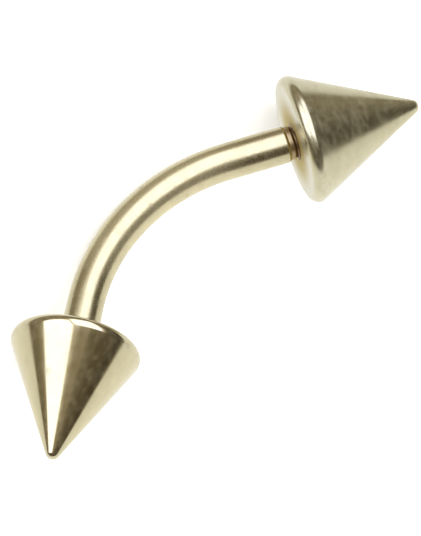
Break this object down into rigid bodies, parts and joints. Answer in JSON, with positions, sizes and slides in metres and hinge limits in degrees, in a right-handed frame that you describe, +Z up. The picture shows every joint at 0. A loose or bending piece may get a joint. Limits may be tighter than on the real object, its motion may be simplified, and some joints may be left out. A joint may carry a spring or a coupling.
{
  "type": "curved eyebrow barbell",
  "caption": "Bent round bar with a pointed cone screwed onto each threaded end, worn through a fold of skin and held by the flat backs of its cones.",
  "frame": {"origin": "on the surface that the jewel lies on, under the middle of its box", "axes": "+X from the left cone towards the right cone, along the longest way; +Z up from the surface; the bend opens towards +Y and up"},
  "size_m": [0.0174, 0.0044, 0.004],
  "materials": {
    "bar_metal": "pale gold plating over steel, drawn and polished, with fine scratches",
    "cone_metal": "pale gold plating over turned steel, mirror polished sides and a satin turned back"
  },
  "bodies": {
    "bar": {"curved_bar": "bar_metal"},
    "left_end": {"left_cone": "cone_metal"},
    "right_end": {"right_cone": "cone_metal"}
  },
  "joints": [
    {"name": "left_unscrew", "type": "slide", "parent": "bar", "child": "left_end", "axis": [-0.8762, 0.3518, 0.3293], "range_m": [-0.00033, 0.00225]},
    {"name": "right_unscrew", "type": "slide", "parent": "bar", "child": "right_end", "axis": [0.855, 0.3518, 0.3809], "range_m": [0, 0.0026]}
  ]
}
